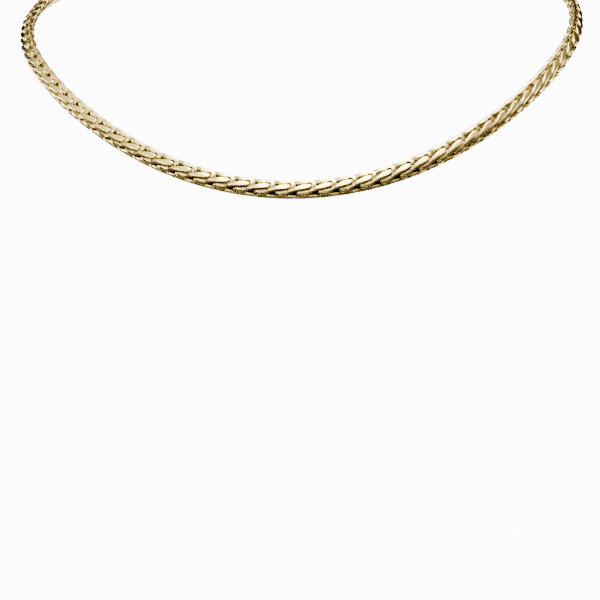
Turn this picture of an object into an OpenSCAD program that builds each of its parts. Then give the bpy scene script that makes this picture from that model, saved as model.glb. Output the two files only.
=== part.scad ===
// Wheat chain, worn form: one closed loop of twisted wire links that lie the same way all
// along, with a jump ring at each end and a plain barrel clasp at the back.
// Z is up, X is to the right as seen from the front, and the front of the loop is at -Y.
// The origin is the middle of the loop's open hollow.

/* [Loop] */
// Width of the worn loop, between the middle lines of its two sides
loop_w = 122; // [114:2:134]
// Depth of the loop, from its front to its back
loop_d = 120.7; // [112.7:2:132.7]
// How much lower the front lies than the back
front_drop = 49; // [37:2:59]

/* [Links] */
// Spacing of the links along the chain
pitch = 4.3; // [4.2:0.05:4.8]
// Diameter of the link wire
wire_d = 0.5; // [0.4:0.02:0.52]
// Distance between the centres of two wires that lie across each other
lap = 0.76; // [0.74:0.01:0.84]
// Distance of a link's outer arms from its middle plane
arm_out = 1.7; // [1.6:0.02:1.8]

/* [Jump rings] */
// Mean radius of the ring at each end of the chain
ring_r = 1.9; // [1.8:0.05:2.2]
// Wire of the jump rings
ring_wire = 0.8; // [0.6:0.05:0.9]

/* [Clasp] */
// Length of the clasp's barrel between its eyes
barrel_len = 9; // [7:0.5:11]
// Diameter of the barrel
barrel_d = 3.6; // [3.2:0.1:4.4]
// Radius of the round at each end of the barrel
barrel_round = 1.2; // [0.6:0.1:1.4]
// Mean radius of the eye at each end of the barrel
eye_r = 1.3; // [1.2:0.05:1.6]
// Wire of the eyes
eye_wire = 0.8; // [0.6:0.05:0.9]

/* [Fit] */
// Play between pieces that hook into each other
play = 0.18; // [0.15:0.01:0.25]

/* [Hidden] */
gold = [0.86, 0.72, 0.42];

// Shape of half of the worn route, from the front centre to the back, chosen by hand and then
// stretched to the loop's own width, depth and drop:
// [to the side, to the back, up, tilt of the outer face above level in degrees]
route_shape = [
    [0, -60, -30.4, 46],
    [12.5, -58.5, -29.3, 45],
    [24.5, -55, -26.1, 43],
    [36, -49, -20.9, 42],
    [46.5, -40.5, -14.1, 45],
    [54, -31, -7.6, 50],
    [59, -20.5, -1.7, 52],
    [61, -9, 3, 50],
    [60.5, 3.5, 7, 46],
    [57.5, 17, 10.5, 42],
    [51.3, 31.2, 13.5, 39],
    [41.5, 43.9, 15.9, 37],
    [28.6, 53.4, 17.5, 36],
    [14.4, 58.9, 18.3, 35],
    [0, 60.7, 18.6, 35]
];

// Arms of one link, from its closed tip to where the wire dives through the next link:
// [pitches along, laps along, laps outward, shares of arm_out sideways]
near_arm = [
    [0, -0.15, 0.5, 0],
    [0, 0.9, 0.5, 1],
    [1, 0.41, 1.48, 0],
    [1, 1, 0.91, 0]
];
far_arm = [
    [0, 0.42, 0.5, -1],
    [1, 0.8, 1.42, -0.78],
    [1, 1.85, 1.36, -0.28],
    [1, 2, 0.75, 0]
];

// Sides of the wire's section
wire_sides = 5;
// Points of the curve between two route points, and the spacing of its frames
spline_steps = 40;
frame_gap = 1;
// Reach to each side over which a frame's direction is taken
frame_reach = 0.6;
// A direction that no stretch of a link's wire follows, from which its sections are turned
guide = [1, 1, 1];
// Most that a section is stretched at a corner, so that the wire keeps its thickness
most_stretch = 1.25;
// Length of a link from its tip to its last dive, apart from the pitch
dive_laps = 2;
// How far from a link's tip the jump ring goes through, in laps
hook_laps = 1.4;
// Share of the eye's radius by which its centre stands off the barrel's end
eye_seat = 0.8;

function unit(v) = v / norm(v);
function reversed(list) = [for (i = [len(list) - 1:-1:0]) list[i]];
function place_of(p) = [p[0], p[1], p[2]];
function mirrored(p) = [-p[0], p[1], p[2], p[3]];
function spread(axis) = max([for (p = route_shape) p[axis]]) - min([for (p = route_shape) p[axis]]);

// The whole route, closed, from the back down the left side and up the right side
route_scale = [loop_w / 2 / spread(0), loop_d / spread(1), front_drop / spread(2)];
half_route = [
    for (p = route_shape)
        [p[0] * route_scale[0], p[1] * route_scale[1], p[2] * route_scale[2], p[3]]
];
half_count = len(half_route);
route = concat(
    [half_route[half_count - 1]],
    [for (i = [half_count - 2:-1:1]) mirrored(half_route[i])],
    [for (i = [0:half_count - 2]) half_route[i]]
);
route_count = len(route);

function route_at(i) = route[(i + route_count) % route_count];
function blend(a, b, c, d, u) = 0.5 * (2 * b + (c - a) * u
    + (2 * a - 5 * b + 4 * c - d) * u * u
    + (3 * b - a - 3 * c + d) * u * u * u);
curve = [
    for (i = [0:route_count])
        for (j = [0:i < route_count ? spline_steps - 1 : 0])
            blend(route_at(i - 1), route_at(i), route_at(i + 1), route_at(i + 2), j / spline_steps)
];
last_point = len(curve) - 1;
run = [
    for (i = 0, s = 0; i <= last_point;
        s = s + (i < last_point ? norm(place_of(curve[i + 1]) - place_of(curve[i])) : 0), i = i + 1)
        [s, i]
];
route_len = run[last_point][0];

// Point and face tilt at a length along the route
function along(s) =
    let (at = lookup(s - route_len * floor(s / route_len), run),
        i = min(floor(at), last_point - 1))
    curve[i] + (curve[i + 1] - curve[i]) * (at - i);

// Frames along the route: [point, direction, outer face]
frame_count = round(route_len / frame_gap);
frame_step = route_len / frame_count;
frames = [
    for (k = [0:frame_count - 1])
        let (p = along(k * frame_step),
            ahead = unit(place_of(along(k * frame_step + frame_reach) - along(k * frame_step - frame_reach))),
            aside = unit([ahead[1], -ahead[0], 0]),
            face = aside * cos(p[3]) + [0, 0, sin(p[3])])
        [place_of(p), ahead, unit(face - ahead * (face * ahead))]
];

// Frame at any length along the route
function frame_at(s) =
    let (q = s / frame_step,
        k = floor(q),
        a = frames[(k + frame_count) % frame_count],
        b = frames[(k + 1 + frame_count) % frame_count],
        ahead = unit(a[1] + (b[1] - a[1]) * (q - k)),
        face = a[2] + (b[2] - a[2]) * (q - k))
    [a[0] + (b[0] - a[0]) * (q - k), ahead, unit(face - ahead * (face * ahead))];

// Place of a point that lies along, outward and sideways of the route's middle line
function on_route(v) =
    let (f = frame_at(v[0]))
    f[0] + f[2] * v[1] + cross(f[1], f[2]) * v[2];

// Closure at the back, as lengths along the route from the barrel's middle
wire_reach = eye_wire / 2 + play + ring_wire / 2;
link_reach = ring_wire / 2 + play + wire_d / 2;
eye_at = barrel_len / 2 + eye_r * eye_seat;
ring_at = eye_at + eye_r - wire_reach + ring_r;
first_tip = ring_at + ring_r - hook_laps * lap;
last_dive = ring_at + ring_r - link_reach - lap;

// Links that fill the route between the two jump rings, and the spacing that they take up
chain_len = route_len - first_tip - last_dive - dive_laps * lap;
link_count = round(chain_len / pitch);
link_pitch = chain_len / link_count;
left_count = ceil(link_count / 2);

// Middle line of one link's wire, as [along, outward, sideways] from its tip
function spot(row) = [row[0] * link_pitch + row[1] * lap, row[2] * lap, row[3] * arm_out];
function half_turned(p) = [p[0], -p[1], -p[2]];
near_line = [for (row = near_arm) spot(row)];
far_line = [for (row = far_arm) spot(row)];
link_line = concat(
    near_line,
    [for (p = reversed(near_line)) half_turned(p)],
    [for (p = far_line) half_turned(p)],
    reversed(far_line)
);
stations = len(link_line);

// Corners of the wire's section at one station, set square to the bend
function section(i) =
    let (here = link_line[i],
        into = unit(here - link_line[(i + stations - 1) % stations]),
        onto = unit(link_line[(i + 1) % stations] - here),
        way = unit(into + onto),
        bend = unit(into - onto),
        stretch = min(1 / (way * into), most_stretch) - 1,
        across = unit(cross(guide, way)),
        up = cross(way, across))
    [for (j = [0:wire_sides - 1])
        let (turn = 360 * j / wire_sides,
            out = (across * cos(turn) + up * sin(turn)) * wire_d / 2)
        here + out + bend * (out * bend) * stretch];
link_points = [for (i = [0:stations - 1]) for (p = section(i)) p];

// Two triangles for each side of the wire between a station and the next one
function corner(i, j) = (i % stations) * wire_sides + j % wire_sides;
link_faces = [
    for (i = [0:stations - 1])
        for (j = [0:wire_sides - 1])
            for (half = [0, 1])
                half == 0
                    ? [corner(i, j), corner(i + 1, j), corner(i, j + 1)]
                    : [corner(i, j + 1), corner(i + 1, j), corner(i + 1, j + 1)]
];

// One link, its tip at a length along the route
module link(tip) {
    polyhedron([for (p = link_points) on_route(p + [tip, 0, 0])], link_faces);
}

module links(first, last) {
    for (k = [first:last]) {
        link(first_tip + k * link_pitch);
    }
}

// Frame of the jump ring on one side, hung between the barrel's line and the chain's end
function ring_frame(side) =
    let (mid = frame_at(0),
        near = mid[0] + mid[1] * side * (ring_at - ring_r),
        far = frame_at(side * (ring_at + ring_r))[0],
        ahead = unit(far - near) * side,
        face = frame_at(side * ring_at)[2])
    [(near + far) / 2, ahead, unit(face - ahead * (face * ahead))];

// Turns a piece from [along, outward, sideways] to a frame of the route
module at_frame(f) {
    side = cross(f[1], f[2]);
    multmatrix([
        [f[1][0], f[2][0], side[0], f[0][0]],
        [f[1][1], f[2][1], side[1], f[0][1]],
        [f[1][2], f[2][2], side[2], f[0][2]],
        [0, 0, 0, 1]
    ])
        children();
}

// Round ring of round wire, its hole along Z
module wire_ring(mean_r, wire) {
    rotate_extrude($fn = 48)
        translate([mean_r, 0])
            circle(d = wire, $fn = 24);
}

// Half of the barrel's outline, with its ends rounded
module barrel_outline() {
    straight = barrel_len / 2 - barrel_round;
    flat_r = barrel_d / 2 - barrel_round;
    translate([0, -straight])
        square([barrel_d / 2, 2 * straight]);
    translate([0, -barrel_len / 2])
        square([flat_r, barrel_len]);
    for (end = [-1, 1])
        translate([flat_r, end * straight])
            intersection() {
                circle(r = barrel_round, $fn = 48);
                translate([0, end < 0 ? -barrel_round : 0])
                    square(barrel_round);
            }
}

module chain_left() {
    color(gold)
        links(0, left_count - 1);
}

module chain_right() {
    color(gold)
        links(left_count, link_count - 1);
}

// Ring through both tips of the first link
module jump_ring_left() {
    color(gold)
        at_frame(ring_frame(1))
            wire_ring(ring_r, ring_wire);
}

// Ring round both dives of the last link
module jump_ring_right() {
    color(gold)
        at_frame(ring_frame(-1))
            rotate([90, 0, 0])
                wire_ring(ring_r, ring_wire);
}

// One closed piece: a barrel with an eye at each end, the eyes square to their rings
module clasp() {
    color(gold)
        at_frame(frame_at(0)) {
            rotate([0, 90, 0])
                rotate_extrude($fn = 64)
                    barrel_outline();
            translate([eye_at, 0, 0])
                rotate([90, 0, 0])
                    wire_ring(eye_r, eye_wire);
            translate([-eye_at, 0, 0])
                wire_ring(eye_r, eye_wire);
        }
}

chain_left();
chain_right();
jump_ring_left();
jump_ring_right();
clasp();
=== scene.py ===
"""Wheat chain in polished yellow gold, closed into the round form it takes when worn."""
import math

import bpy
import numpy as np
from mathutils import Matrix, Vector


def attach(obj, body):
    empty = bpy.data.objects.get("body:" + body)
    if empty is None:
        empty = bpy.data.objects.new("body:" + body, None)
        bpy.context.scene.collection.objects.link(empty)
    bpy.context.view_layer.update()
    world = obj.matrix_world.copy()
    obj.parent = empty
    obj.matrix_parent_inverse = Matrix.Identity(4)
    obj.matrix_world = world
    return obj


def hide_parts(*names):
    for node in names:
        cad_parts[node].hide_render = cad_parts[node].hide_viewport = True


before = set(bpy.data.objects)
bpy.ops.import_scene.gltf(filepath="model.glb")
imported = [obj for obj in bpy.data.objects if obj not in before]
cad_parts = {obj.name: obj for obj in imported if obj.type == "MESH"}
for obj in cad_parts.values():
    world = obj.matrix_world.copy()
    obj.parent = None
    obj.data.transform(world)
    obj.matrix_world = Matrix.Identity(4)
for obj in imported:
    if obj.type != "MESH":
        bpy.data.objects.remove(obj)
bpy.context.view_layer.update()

MM = 0.001

# sizes that the solids have too, in millimetres
PITCH = 4.3
# distance between the centres of two wires that lie across each other
LAP = 0.76
LINK_WIRE = 0.5
RING_R, RING_WIRE = 1.9, 0.8
# the clasp's barrel and eyes; an eye's middle stands off by this share of its radius
BARREL_LEN, EYE_R, EYE_WIRE, EYE_SEAT = 9.0, 1.3, 0.8, 0.8
# room between pieces that hook, and how far from a link's tip its jump ring goes through, in laps
PLAY = 0.18
HOOK_LAPS = 1.4
# length of a link from its tip to its last dive, apart from the pitch, in laps
DIVE_LAPS = 2

# half of the worn route: to the side, to the back, up, tilt of the outer face in degrees
HALF_ROUTE = [
    (0, -60, -30.4, 46), (12.5, -58.5, -29.3, 45), (24.5, -55, -26.1, 43), (36, -49, -20.9, 42),
    (46.5, -40.5, -14.1, 45), (54, -31, -7.6, 50), (59, -20.5, -1.7, 52), (61, -9, 3, 50),
    (60.5, 3.5, 7, 46), (57.5, 17, 10.5, 42), (51.3, 31.2, 13.5, 39), (41.5, 43.9, 15.9, 37),
    (28.6, 53.4, 17.5, 36), (14.4, 58.9, 18.3, 35), (0, 60.7, 18.6, 35),
]
# points from one of them to the next, and the reach each way over which a direction is taken
ROUTE_STEPS = 40
AHEAD = 0.6

# polished link: rings of points along its wire, points in a ring, the wire and its place to the side
STATIONS, SIDES = 132, 16
WIRE = 0.80
ARM_OUT = 1.36
# points along each stretch of the wire before it is evened out, and rounds of smoothing
TIP_POINTS, LEAF_POINTS, LEAF_END_POINTS, DIVE_POINTS, EDGE_POINTS, CURL_POINTS = 10, 26, 8, 4, 30, 16
SMOOTHINGS = 3
# how high leaves and bands climb, in laps, and the power by which a leaf does
LIFT, RISE = 1.05, 0.45
# the last part of the link is drawn forward by this much, from and over these shares of the pitch
DIVE_REACH, DIVE_FROM, DIVE_OVER = 0.28, 0.3, 0.9
# where the edge bands end beside the middle line
CURL_REACH = 0.10
# edges of a leaf as (along, upper edge, lower edge)
LEAF_EDGES = [
    (0.2, 0.62, 1.50), (0.92, 0.36, 1.34), (1.84, 0.18, 1.16), (2.3, 0.04, 1.06), (2.6, -0.08, 1.00),
    (3.05, -0.28, 0.93), (3.7, -0.47, 0.84), (4.4, -0.54, 0.66), (5.0, -0.54, 0.44), (5.7, -0.50, 0.00),
]
# where along the link a leaf starts to follow its edges, and over which length
LEAF_FROM, LEAF_OVER = 0.1, 0.7
# half width of an edge band, and where along the link it starts and is full
BAND_HALF, BAND_FROM, BAND_FULL = 0.68, 0.4, 1.2
# thickness of bands and leaves against the wire's: start, full, hold and end as shares of the pitch
BAND_DEEP, BAND_SWELL = 1.1, (0.1, 0.4, 0.75, 1.1)
LEAF_DEEP, LEAF_SWELL = 0.85, (0.1, 0.4, 0.9, 1.2)
# the hidden hooks at the tip: half width, reach along and aside, and how softly both end
HOOK_HALF, HOOK_ALONG, HOOK_END = 2.2, 0.6, 1.2
HOOK_SOFT_ALONG, HOOK_SOFT_END = 0.4, 0.5
# the dives through the next link: half width, half thickness and length of their start
DIVE_HALF, DIVE_DEEP, DIVE_START = 0.75, 0.70, 0.5
# a dive is full up to the first height off the chain's middle and ends at the second
DIVE_LOW, DIVE_HIGH = 0.32, 1.12
# sine of the wire's lean from outward at which its flat starts to lie outward, and over how much more
UPRIGHT, UPRIGHT_OVER = 0.3, 0.4
# roundness of the wire: 1 is round, less is squarer
SQUARE = 0.72
# how far the polished faces reach from the middle of the chain, and how softly they are cut
LEAF_TOP, BAND_TOP, SIDE_REACH, TRIM_SOFT = 1.27, 1.22, 1.90, 0.18
# the long corners: reach of the front one and the one across from it, of the others, and their angle
FRONT_REACH, CORNER_REACH, CORNER_ANGLE = 1.66, 1.88, 48
# the shaded core is full up to this share of the reach and fades over so much more
CORE, CORE_EDGE = 0.45, 0.42
# start of the random tones, one for each link
TONE_SEED = 7

# the white that is seen round the chain; the floor's half size and level in metres
WHITE = 12.0
FLOOR_HALF, FLOOR_LEVEL = 9, -0.14

# the camera's place in millimetres, then its turn, tilt and roll in degrees
CAMERA_AT = (16.312, -636.867, 9.407)
TURN, TILT, ROLL = -1.6246, -6.1842, -1.1695
# the picture's width and the focal length in pixels, and the sensor's width in millimetres
IMAGE, FOCAL, SENSOR = 600, 2812.06, 36


# the worn route
def unit(v):
    return v / np.linalg.norm(v, axis=-1, keepdims=True)


def closed_route():
    """Points along the closed route, from the back down the left side and up the right side."""
    half = np.array(HALF_ROUTE, float)
    left = half[-2:0:-1] * [-1, 1, 1, 1]
    route = np.vstack([half[-1:], left, half[:-1]])
    steps = np.linspace(0, 1, ROUTE_STEPS, endpoint=False)[:, None]
    before, after, beyond = np.roll(route, 1, 0), np.roll(route, -1, 0), np.roll(route, -2, 0)
    spans = [
        0.5 * (2 * b + (c - a) * steps + (2 * a - 5 * b + 4 * c - d) * steps ** 2
               + (3 * b - a - 3 * c + d) * steps ** 3)
        for a, b, c, d in zip(before, route, after, beyond)
    ]
    points = np.vstack(spans)
    return np.vstack([points, points[:1]])


ROUTE = closed_route()
RUN = np.concatenate([[0], np.cumsum(np.linalg.norm(np.diff(ROUTE[:, :3], axis=0), axis=1))])
ROUTE_LEN = RUN[-1]


def along(s):
    s = np.mod(s, ROUTE_LEN)
    return np.stack([np.interp(s, RUN, ROUTE[:, i]) for i in range(4)], -1)


def on_route(local):
    """Places points given as (along, outward, sideways), in millimetres."""
    s = local[..., 0]
    here = along(s)
    ahead = unit(along(s + AHEAD)[..., :3] - along(s - AHEAD)[..., :3])
    aside = unit(np.stack([ahead[..., 1], -ahead[..., 0], 0 * s], -1))
    tilt = np.radians(here[..., 3:4])
    face = aside * np.cos(tilt) + np.array([0, 0, 1.0]) * np.sin(tilt)
    face = unit(face - ahead * np.sum(face * ahead, -1, keepdims=True))
    side = np.cross(ahead, face)
    return here[..., :3] + face * local[..., 1:2] + side * local[..., 2:3]


# where the links start and how far apart they lie
wire_reach = EYE_WIRE / 2 + PLAY + RING_WIRE / 2
link_reach = RING_WIRE / 2 + PLAY + LINK_WIRE / 2
eye_at = BARREL_LEN / 2 + EYE_R * EYE_SEAT
ring_at = eye_at + EYE_R - wire_reach + RING_R
first_tip = ring_at + RING_R - HOOK_LAPS * LAP
last_dive = ring_at + RING_R - link_reach - LAP
chain_len = ROUTE_LEN - first_tip - last_dive - DIVE_LAPS * LAP
link_count = round(chain_len / PITCH)
link_pitch = chain_len / link_count
left_count = math.ceil(link_count / 2)


# one twisted link
def ease(x):
    x = np.clip(x, 0, 1)
    return x * x * (3 - 2 * x)


def between(x, start, full, hold, end):
    """1 from full to hold, falling to 0 at start and at end."""
    return ease(np.clip((x - start) / (full - start), 0, 1) * np.clip((end - x) / (end - hold), 0, 1))


def smoothed(v):
    return 0.25 * np.roll(v, 1, 0) + 0.5 * v + 0.25 * np.roll(v, -1, 0)


def quarter(count):
    """Angles of a quarter turn, without its first."""
    return np.radians(np.linspace(0, 90, count))[1:]


def bent_wire():
    """The link's wire as bent, and its share of leaf: closed tip, two leaves, two bands."""
    lap, pitch, out, top = LAP, link_pitch, ARM_OUT, LIFT * LAP
    turn = np.radians(np.linspace(0, 90, TIP_POINTS))
    tip = np.stack([lap * (1 - np.cos(turn)), 0 * turn + lap / 2, out * np.sin(turn)], 1)
    down = np.linspace(lap / 2, 0, DIVE_POINTS)[1:]

    x = np.linspace(lap, pitch, LEAF_POINTS)[1:]
    leaf = np.stack([x, lap / 2 + top * ((x - lap) / (pitch - lap)) ** RISE,
                     out * (1 - ease((x - 2 * lap) / (pitch - 2 * lap)))], 1)
    turn = quarter(LEAF_END_POINTS)
    leaf_end = np.stack([pitch + lap * np.sin(turn), lap / 2 + top * np.cos(turn), 0 * turn], 1)
    leaf_dive = np.stack([0 * down + pitch + lap, down, 0 * down], 1)
    near = np.vstack([tip, leaf, leaf_end, leaf_dive])

    x = np.linspace(lap, pitch + lap, EDGE_POINTS)[1:]
    edge = np.stack([x, lap / 2 + top * ease((x - 2 * lap) / (pitch - 2 * lap)), 0 * x + out], 1)
    turn = quarter(CURL_POINTS)
    curl = np.stack([pitch + lap + lap * np.sin(turn),
                     lap / 2 + top * np.sqrt(np.clip(1 - (1 - np.cos(turn)) ** 2, 0, 1)),
                     out + (CURL_REACH - out) * (1 - np.cos(turn))], 1)
    edge_dive = np.stack([0 * down + pitch + 2 * lap, down, CURL_REACH * down / (lap / 2)], 1)
    far = np.vstack([tip, edge, curl, edge_dive])

    ring = np.vstack([near, (near[::-1] * [1, -1, -1])[1:],
                      (far * [1, -1, 1])[1:], (far[::-1] * [1, 1, -1])[1:-1]])
    return ring, np.repeat([1.0, 0.0], [2 * len(near) - 1, 2 * len(far) - 3])


def link_line():
    """Even middle line of the link's wire, its share of leaf and its half width."""
    ring, leafy = bent_wire()
    loop = np.vstack([ring, ring[:1]])
    run = np.concatenate([[0], np.cumsum(np.linalg.norm(np.diff(loop, axis=0), axis=1))])
    even = np.linspace(0, run[-1], STATIONS + 1)[:-1]
    line = np.stack([np.interp(even, run, loop[:, i]) for i in range(3)], 1)
    leafy = np.interp(even, run, np.append(leafy, leafy[:1]))
    for _ in range(SMOOTHINGS):
        line = smoothed(line)
    line[:, 0] += DIVE_REACH * ease((line[:, 0] - DIVE_FROM * link_pitch) / (DIVE_OVER * link_pitch))
    # a leaf's middle runs between its two edges, and its end lies in the curl of the edge band
    along_leaf, upper, lower = np.array(LEAF_EDGES).T
    middle = np.interp(line[:, 0], along_leaf, (upper + lower) / 2)
    share = leafy * ease((line[:, 0] - LEAF_FROM) / LEAF_OVER)
    line[:, 2] += share * (middle * np.clip(line[:, 1] / (0.5 * LAP), -1, 1) - line[:, 2])
    line[:, 2] = smoothed(line[:, 2])
    half_wide = np.interp(line[:, 0], along_leaf, (lower - upper) / 2)
    band = (1 - leafy) * between(line[:, 0], BAND_FROM, BAND_FULL, link_pitch, link_pitch + LAP)
    half_wide = WIRE / 2 + share * (half_wide - WIRE / 2) + band * (BAND_HALF - WIRE / 2)
    return line, leafy, half_wide


def wire_thickness(line, leafy, half_wide):
    """Half thickness and half width of the wire along its line, fuller in the hooks and dives."""
    x = line[:, 0]
    band_swell = (1 - leafy) * between(x, *(link_pitch * np.array(BAND_SWELL)))
    leaf_swell = leafy * between(x, *(link_pitch * np.array(LEAF_SWELL)))
    deep = WIRE / 2 * (1 + (BAND_DEEP - 1) * band_swell + (LEAF_DEEP - 1) * leaf_swell)
    hook = (ease((HOOK_ALONG - x) / HOOK_SOFT_ALONG)
            * ease((HOOK_END - np.abs(line[:, 2])) / HOOK_SOFT_END))
    dive = (ease((x - link_pitch) / DIVE_START)
            * ease((DIVE_HIGH - np.abs(line[:, 1])) / (DIVE_HIGH - DIVE_LOW)))
    half_wide = half_wide + hook * (HOOK_HALF - WIRE / 2) + dive * (DIVE_HALF - WIRE / 2)
    return deep + dive * (DIVE_DEEP - WIRE / 2), half_wide


def trimmed(v, reach):
    """Flattens what stands past reach, as polishing does, with a soft edge."""
    over = np.abs(v) - (reach - TRIM_SOFT)
    flat = reach - TRIM_SOFT + TRIM_SOFT * np.tanh(np.maximum(over, 0) / TRIM_SOFT)
    return np.where(over > 0, np.sign(v) * flat, v)


def polished(shell, leafy):
    """Cuts the link flat on the chain's four faces and rounds off its four long corners."""
    top = BAND_TOP + (LEAF_TOP - BAND_TOP) * leafy[:, None]
    shell[..., 1] = trimmed(shell[..., 1], top)
    shell[..., 2] = trimmed(shell[..., 2], SIDE_REACH)
    lean = np.radians(CORNER_ANGLE)
    out = np.abs(shell[..., 2]) * np.sin(lean) + np.abs(shell[..., 1]) * np.cos(lean)
    reach = np.where(shell[..., 1] * shell[..., 2] > 0, FRONT_REACH, CORNER_REACH)
    cut = (out - trimmed(out, reach))[..., None]
    shell[..., 1:] -= np.sign(shell[..., 1:]) * cut * [np.cos(lean), np.sin(lean)]
    return shell


def link_shell():
    """Points of one link, (stations, sides, 3), as along, outward and sideways of its tip."""
    line, leafy, half_wide = link_line()
    way = unit(np.roll(line, -1, 0) - np.roll(line, 1, 0))
    outward = np.array([0, 1.0, 0]) - way[:, 1:2] * way
    # the wire's flat lies outward, or along the chain where the wire itself runs outward
    level = np.clip((np.linalg.norm(outward, axis=1, keepdims=True) - UPRIGHT) / UPRIGHT_OVER, 0, 1)
    flat = np.array([0, 1.0, 0]) * np.sign(line[:, 1:2]) * level + np.array([1.0, 0, 0]) * (1 - level)
    flat = unit(flat - np.sum(flat * way, 1, keepdims=True) * way)
    across = np.cross(way, flat)
    deep, half_wide = wire_thickness(line, leafy, half_wide)
    turn = np.arange(SIDES) * 2 * math.pi / SIDES
    round_1, round_2 = (np.sign(v) * np.abs(v) ** SQUARE for v in (np.cos(turn), np.sin(turn)))
    shell = (line[:, None] + flat[:, None] * (deep[:, None] * round_1)[..., None]
             + across[:, None] * (half_wide[:, None] * round_2)[..., None])
    return polished(shell, leafy)


def link_faces():
    i = np.arange(STATIONS)[:, None]
    j = np.arange(SIDES)[None]
    after, beside = (i + 1) % STATIONS, (j + 1) % SIDES
    corners = [i * SIDES + j, after * SIDES + j, after * SIDES + beside, i * SIDES + beside]
    return np.stack(np.broadcast_arrays(*corners), -1).reshape(-1, 4)


def painted_shade(shell):
    """How deep each point lies inside the chain, painted as shade: 0 on the polished outside, 1 in the
    core.
    """
    reach = np.maximum(np.abs(shell[..., 1]) / LEAF_TOP, np.abs(shell[..., 2]) / SIDE_REACH)
    return 1 - ease((reach - CORE) / CORE_EDGE)


def signed_volume(points, faces):
    a, b, c, d = (points[faces[:, k]] for k in range(4))
    return float(np.sum(np.cross(a, b) * c) + np.sum(np.cross(a, c) * d))


def chain_half(name, first, last):
    """Joins the links of one half of the chain into one mesh."""
    shell, faces = link_shell(), link_faces()
    if signed_volume(shell.reshape(-1, 3), faces) < 0:
        faces = faces[:, ::-1]
    link_points = shell.shape[0] * shell.shape[1]
    tips = first_tip + link_pitch * np.arange(first, last)
    points = np.stack([on_route(shell + [tip, 0, 0]).reshape(-1, 3) for tip in tips])
    shift = (np.arange(len(tips)) * link_points)[:, None, None]
    all_faces = (faces[None] + shift).reshape(-1, 4)
    mesh = bpy.data.meshes.new(name)
    mesh.from_pydata((points.reshape(-1, 3) * MM).tolist(), [], all_faces.tolist())
    mesh.polygons.foreach_set("use_smooth", np.ones(len(all_faces), bool))
    chance = np.random.default_rng(TONE_SEED + first).random(len(tips))
    # each link carries its painted shade, deeper inside the chain, and a random tone of its own
    for label, values in [("painted_shade", np.tile(painted_shade(shell).ravel(), len(tips))),
                          ("link_tone", np.repeat(chance, link_points))]:
        layer = mesh.attributes.new(label, "FLOAT", "POINT")
        layer.data.foreach_set("value", values.astype(np.float32))
    mesh.update()
    obj = bpy.data.objects.new(name, mesh)
    bpy.context.collection.objects.link(obj)
    return obj


# gold
def add(tree, kind, place, **values):
    """Adds a node; in_Name sets the input called Name, and all else is the node's own."""
    node = tree.nodes.new(kind)
    node.location = place
    for key, value in values.items():
        if key.startswith("in_"):
            node.inputs[key[3:].replace("_", " ")].default_value = value
        else:
            setattr(node, key, value)
    return node


def maths(tree, place, operation, *values, clamp=False):
    """Output of a math node whose inputs are numbers or outputs of other nodes."""
    node = add(tree, "ShaderNodeMath", place, operation=operation, use_clamp=clamp)
    for socket, value in zip(node.inputs, values):
        if isinstance(value, float):
            socket.default_value = value
        else:
            tree.links.new(value, socket)
    return node.outputs["Value"]


def ranged(tree, place, source, start, full, least=0.0, most=1.0):
    """Output that runs from least to most while source runs from start to full."""
    node = add(tree, "ShaderNodeMapRange", place, in_From_Min=start, in_From_Max=full,
               in_To_Min=least, in_To_Max=most)
    tree.links.new(source, node.inputs["Value"])
    return node.outputs["Result"]


def tone_ramp(tree, place, source, tones):
    """Output of a colour ramp through (position, tone) pairs."""
    node = add(tree, "ShaderNodeValToRGB", place)
    stops = node.color_ramp.elements
    for stop, (spot, tone) in [(stops[0], tones[0]), (stops[1], tones[-1])]:
        stop.position, stop.color = spot, (*tone, 1)
    for spot, tone in tones[1:-1]:
        stops.new(spot).color = (*tone, 1)
    tree.links.new(source, node.inputs["Fac"])
    return node.outputs["Color"]


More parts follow.
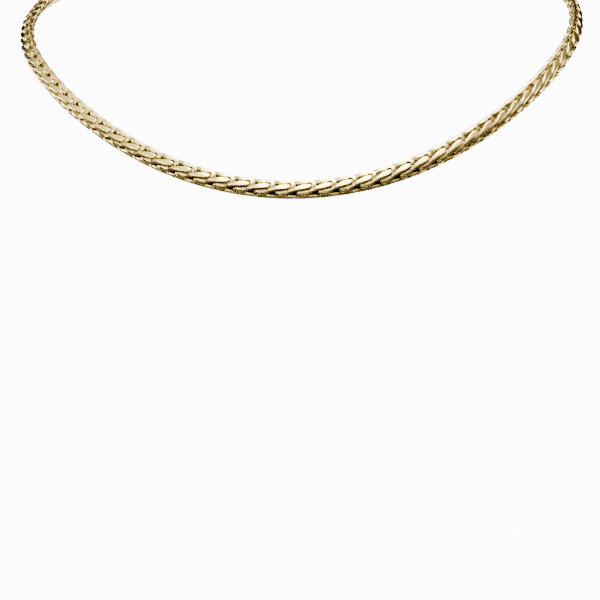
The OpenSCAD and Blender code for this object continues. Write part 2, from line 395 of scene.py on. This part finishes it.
def gold_surface_group():
    """Colour, roughness and fine relief of polished gold, from painted shade in its recesses, its scratches
    and its random tone.
    """
    group = bpy.data.node_groups.new("polished_gold_surface", "ShaderNodeTree")
    face = group.interface
    for name, kind, value in [
        ("Bright Tone", "NodeSocketColor", (0.95, 0.79, 0.50, 1)),
        ("Deep Tone And Shade", "NodeSocketColor", (0.40, 0.24, 0.07, 1)),
        ("Painted Shade", "NodeSocketFloat", 0.0),
        ("Piece Tone", "NodeSocketFloat", 0.5),
        ("Polish", "NodeSocketFloat", 0.12),
        ("Scratch", "NodeSocketFloat", 0.5),
    ]:
        face.new_socket(name, in_out="INPUT", socket_type=kind).default_value = value
    for name, kind in [("Colour", "NodeSocketColor"), ("Roughness", "NodeSocketFloat"),
                       ("Height", "NodeSocketFloat")]:
        face.new_socket(name, in_out="OUTPUT", socket_type=kind)

    given = add(group, "NodeGroupInput", (-1300, 0))
    result = add(group, "NodeGroupOutput", (900, 0))
    place = add(group, "ShaderNodeTexCoord", (-1300, -300))
    link = group.links.new

    cloud = add(group, "ShaderNodeTexNoise", (-1000, 300), in_Scale=380.0, in_Detail=3.0)
    link(place.outputs["Object"], cloud.inputs["Vector"])
    grain = add(group, "ShaderNodeTexNoise", (-1000, 0), in_Scale=5200.0, in_Detail=2.0)
    link(place.outputs["Object"], grain.inputs["Vector"])

    # hair scratches: noise drawn out in two directions
    hairs = []
    for turn, size, y in [((0.4, 0.2, 0.9), 900.0, -300), ((1.1, 0.7, -0.5), 1300.0, -560)]:
        lay = add(group, "ShaderNodeMapping", (-1000, y), in_Rotation=turn, in_Scale=(1.0, 14.0, 1.0))
        link(place.outputs["Object"], lay.inputs["Vector"])
        hair = add(group, "ShaderNodeTexNoise", (-780, y), in_Scale=size, in_Detail=1.0)
        link(lay.outputs["Vector"], hair.inputs["Vector"])
        hairs.append(ranged(group, (-560, y), hair.outputs["Fac"], 0.60, 0.68))
    scratches = maths(group, (-340, -400), "MAXIMUM", *hairs)
    worn = maths(group, (-140, -400), "MULTIPLY", scratches, given.outputs["Scratch"])

    # tone: painted shade deep in the recesses, and a little random deep tone in clouds and from link to
    # link
    clouds = ranged(group, (-780, 300), cloud.outputs["Fac"], 0.3, 0.8, 0.0, 0.16)
    piece = maths(group, (-780, 560), "MULTIPLY", given.outputs["Piece Tone"], 0.12)
    tone = maths(group, (-560, 420), "ADD", clouds, piece)
    deep = maths(group, (-340, 420), "ADD", tone, given.outputs["Painted Shade"], clamp=True)
    colour = add(group, "ShaderNodeMix", (-60, 420), data_type="RGBA")
    link(deep, colour.inputs["Factor"])
    link(given.outputs["Bright Tone"], colour.inputs["A"])
    link(given.outputs["Deep Tone And Shade"], colour.inputs["B"])
    link(colour.outputs["Result"], result.inputs["Colour"])

    # roughness: polish, more in the recesses, in clouds and in scratches
    dull = maths(group, (-340, 120), "MULTIPLY_ADD", given.outputs["Painted Shade"], 0.22, given.outputs["Polish"])
    haze = maths(group, (-140, 120), "MULTIPLY_ADD", clouds, 0.5, dull)
    rough = maths(group, (80, 120), "MULTIPLY_ADD", worn, 0.2, haze, clamp=True)
    link(rough, result.inputs["Roughness"])

    # relief: a fine grain, cut by the scratches
    low = maths(group, (80, -300), "MULTIPLY_ADD", worn, -1.0, grain.outputs["Fac"])
    link(low, result.inputs["Height"])
    return group


GOLD_SURFACE = gold_surface_group()


def gold(name, bright, deep, polish, scratch, relief, has_painted_shade):
    """Polished gold; when asked, it also reads from the mesh the painted shade of the recesses and each
    link's random tone kept there.
    """
    material = bpy.data.materials.new(name)
    material.use_nodes = True
    tree = material.node_tree
    shader = tree.nodes["Principled BSDF"]
    shader.inputs["Metallic"].default_value = 1.0
    surface = add(tree, "ShaderNodeGroup", (-500, 100), node_tree=GOLD_SURFACE)
    surface.inputs["Bright Tone"].default_value = (*bright, 1)
    surface.inputs["Deep Tone And Shade"].default_value = (*deep, 1)
    surface.inputs["Polish"].default_value = polish
    surface.inputs["Scratch"].default_value = scratch
    if has_painted_shade:
        for label, socket, y in [("painted_shade", "Painted Shade", 200), ("link_tone", "Piece Tone", 0)]:
            value = add(tree, "ShaderNodeAttribute", (-760, y), attribute_name=label)
            tree.links.new(value.outputs["Fac"], surface.inputs[socket])
    tree.links.new(surface.outputs["Colour"], shader.inputs["Base Color"])
    tree.links.new(surface.outputs["Roughness"], shader.inputs["Roughness"])
    bump = add(tree, "ShaderNodeBump", (-220, -200), in_Strength=relief, in_Distance=0.00003)
    tree.links.new(surface.outputs["Height"], bump.inputs["Height"])
    tree.links.new(bump.outputs["Normal"], shader.inputs["Normal"])
    return material


# the chain's deep tone is nearly black because it is mostly painted shade in the recesses; a little of it
# is random tone
chain_gold = gold("chain_gold", bright=(0.98, 0.76, 0.21), deep=(0.11, 0.06, 0.03),
                  polish=0.09, scratch=0.25, relief=0.2, has_painted_shade=True)
fitting_gold = gold("fitting_gold", bright=(0.96, 0.74, 0.22), deep=(0.42, 0.24, 0.06),
                    polish=0.10, scratch=0.4, relief=0.3, has_painted_shade=False)

# the chain and its fittings
for node_name, first, last in [("chain_left", 0, left_count), ("chain_right", left_count, link_count)]:
    half = chain_half(node_name.replace("chain", "wheat_chain"), first, last)
    half.data.materials.append(chain_gold)
    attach(half, "root")
    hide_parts(node_name)

for node_name in ["jump_ring_left", "jump_ring_right", "clasp"]:
    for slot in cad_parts[node_name].material_slots:
        slot.material = fitting_gold


# floor and light
def pale_floor_material():
    """Nearly black matt floor that glows: evenly white where it is seen, and in the gold a painted glow,
    dark in front and bright behind.
    """
    material = bpy.data.materials.new("pale_floor")
    material.use_nodes = True
    tree = material.node_tree
    shader = tree.nodes["Principled BSDF"]
    shader.inputs["Roughness"].default_value = 0.7
    cloud = add(tree, "ShaderNodeTexNoise", (-900, 0), in_Scale=3.0, in_Detail=2.0)
    tint = add(tree, "ShaderNodeMix", (-600, 0), data_type="RGBA")
    tint.inputs["A"].default_value = (0.012, 0.010, 0.008, 1)
    tint.inputs["B"].default_value = (0.009, 0.008, 0.006, 1)
    tree.links.new(cloud.outputs["Fac"], tint.inputs["Factor"])
    tree.links.new(tint.outputs["Result"], shader.inputs["Base Color"])
    # what the gold reflects is painted as the floor's glow: painted shade in front of the chain, one pale
    # strip of painted light, and painted light behind it
    place = add(tree, "ShaderNodeTexCoord", (-1300, -500))
    split = add(tree, "ShaderNodeSeparateXYZ", (-1100, -500))
    tree.links.new(place.outputs["Object"], split.inputs[0])
    back = ranged(tree, (-900, -500), split.outputs["Y"], -0.3, 0.5)
    painted_floor_glow = tone_ramp(tree, (-700, -500), back, [
        (0.20, (0.0006, 0.0005, 0.0005)), (0.265, (0.003, 0.0025, 0.006)), (0.285, (0.015, 0.013, 0.022)),
        (0.31, (0.015, 0.013, 0.022)), (0.33, (0.003, 0.0025, 0.006)), (0.43, (0.005, 0.004, 0.009)),
        (0.50, (0.05, 0.045, 0.07)), (0.75, (0.30, 0.28, 0.29)),
    ])
    # the floor glows evenly white to the camera, and with the painted light and shade above to every other
    # ray
    seen = add(tree, "ShaderNodeLightPath", (-700, -200))
    glow = add(tree, "ShaderNodeMix", (-400, -300), data_type="RGBA")
    glow.inputs["B"].default_value = (1, 1, 1, 1)
    tree.links.new(seen.outputs["Is Camera Ray"], glow.inputs["Factor"])
    tree.links.new(painted_floor_glow, glow.inputs["A"])
    tree.links.new(glow.outputs["Result"], shader.inputs["Emission Color"])
    shader.inputs["Emission Strength"].default_value = WHITE
    return material


floor_mesh = bpy.data.meshes.new("floor")
floor_mesh.from_pydata([(x * FLOOR_HALF, y * FLOOR_HALF, FLOOR_LEVEL)
                        for x, y in [(-1, -1), (1, -1), (1, 1), (-1, 1)]], [], [(0, 1, 2, 3)])
floor = bpy.data.objects.new("floor", floor_mesh)
bpy.context.collection.objects.link(floor)
floor.data.materials.append(pale_floor_material())


def studio_world():
    """Studio round the chain: white where it is seen, and in the gold dark low down, bright overhead."""
    world = bpy.data.worlds.new("studio")
    world.use_nodes = True
    sky = world.node_tree
    direction = add(sky, "ShaderNodeTexCoord", (-900, 0))
    split = add(sky, "ShaderNodeSeparateXYZ", (-700, 0))
    sky.links.new(direction.outputs["Generated"], split.inputs[0])
    height = ranged(sky, (-500, 0), split.outputs["Z"], -1.0, 1.0)
    shade = tone_ramp(sky, (-300, 0), height, [
        (0.0, (0.03, 0.025, 0.015)), (0.50, (0.006, 0.005, 0.010)), (0.71, (0.016, 0.013, 0.022)),
        (0.80, (0.40, 0.37, 0.34)), (0.87, (1.35, 1.31, 1.23)), (0.95, (2.4, 2.38, 2.3)),
    ])
    # the studio is darker toward the right and toward the back
    for axis, start, full, least in [("X", 0.2, 0.5, 0.33), ("Y", 0.1, 0.8, 0.5)]:
        fade = ranged(sky, (-300, -300), split.outputs[axis], start, full, 1.0, least)
        dim = add(sky, "ShaderNodeVectorMath", (-160, 0), operation="SCALE")
        sky.links.new(shade, dim.inputs[0])
        sky.links.new(fade, dim.inputs["Scale"])
        shade = dim.outputs["Vector"]
    seen = add(sky, "ShaderNodeLightPath", (-300, 300))
    pick = add(sky, "ShaderNodeMix", (-60, 200), data_type="RGBA")
    pick.inputs["B"].default_value = (WHITE, WHITE, WHITE, 1)
    sky.links.new(seen.outputs["Is Camera Ray"], pick.inputs["Factor"])
    sky.links.new(shade, pick.inputs["A"])
    sky.links.new(pick.outputs["Result"], sky.nodes["Background"].inputs["Color"])
    return world


bpy.context.scene.world = studio_world()


def softbox(name, place, aim, width, depth, power, colour=(1, 1, 1)):
    """Rectangular lamp at place, turned toward aim; lengths in metres, power in watts."""
    lamp = bpy.data.lights.new(name, "AREA")
    lamp.shape = "RECTANGLE"
    lamp.size, lamp.size_y = width, depth
    lamp.energy = power
    lamp.color = colour
    holder = bpy.data.objects.new(name, lamp)
    bpy.context.collection.objects.link(holder)
    holder.location = place
    holder.rotation_euler = (Vector(aim) - Vector(place)).to_track_quat("-Z", "Y").to_euler()


softbox("key_softbox", (-0.45, -0.65, 0.75), (0, -0.02, 0), 0.5, 0.35, 5.0)
softbox("top_softbox", (0.1, 0.0, 0.95), (0, 0, 0), 0.7, 0.5, 16.0)
softbox("side_softbox", (0.95, -0.25, 0.35), (0, 0, 0), 0.3, 0.6, 1.2, (1.0, 0.97, 0.92))
softbox("left_softbox", (-0.9, 0.1, 0.22), (-0.05, -0.02, 0), 0.5, 0.5, 11.0)
softbox("right_softbox", (0.9, 0.0, 0.22), (0.05, -0.02, 0), 0.5, 0.5, 6.0, (1.0, 0.94, 0.82))
softbox("low_strip", (-0.1, -0.85, -0.02), (0, -0.05, -0.03), 1.3, 0.03, 1.5)


def set_camera():
    """Looks at the chain from the photo's angle."""
    turn, tilt, roll = (math.radians(v) for v in (TURN, TILT, ROLL))
    gaze = Vector((math.sin(turn) * math.cos(tilt), math.cos(turn) * math.cos(tilt), math.sin(tilt)))
    right = Vector((math.cos(turn), -math.sin(turn), 0))
    up = right.cross(gaze)
    right, up = (right * math.cos(roll) + up * math.sin(roll),
                 up * math.cos(roll) - right * math.sin(roll))
    lens = bpy.data.cameras.new("camera")
    lens.sensor_fit = "HORIZONTAL"
    lens.sensor_width = SENSOR
    lens.lens = FOCAL / IMAGE * SENSOR
    lens.clip_start, lens.clip_end = 0.01, 50
    camera = bpy.data.objects.new("camera", lens)
    bpy.context.collection.objects.link(camera)
    turned = Matrix((right, up, -gaze)).transposed().to_4x4()
    camera.matrix_world = Matrix.Translation(Vector(CAMERA_AT) * MM) @ turned
    bpy.context.scene.camera = camera


set_camera()
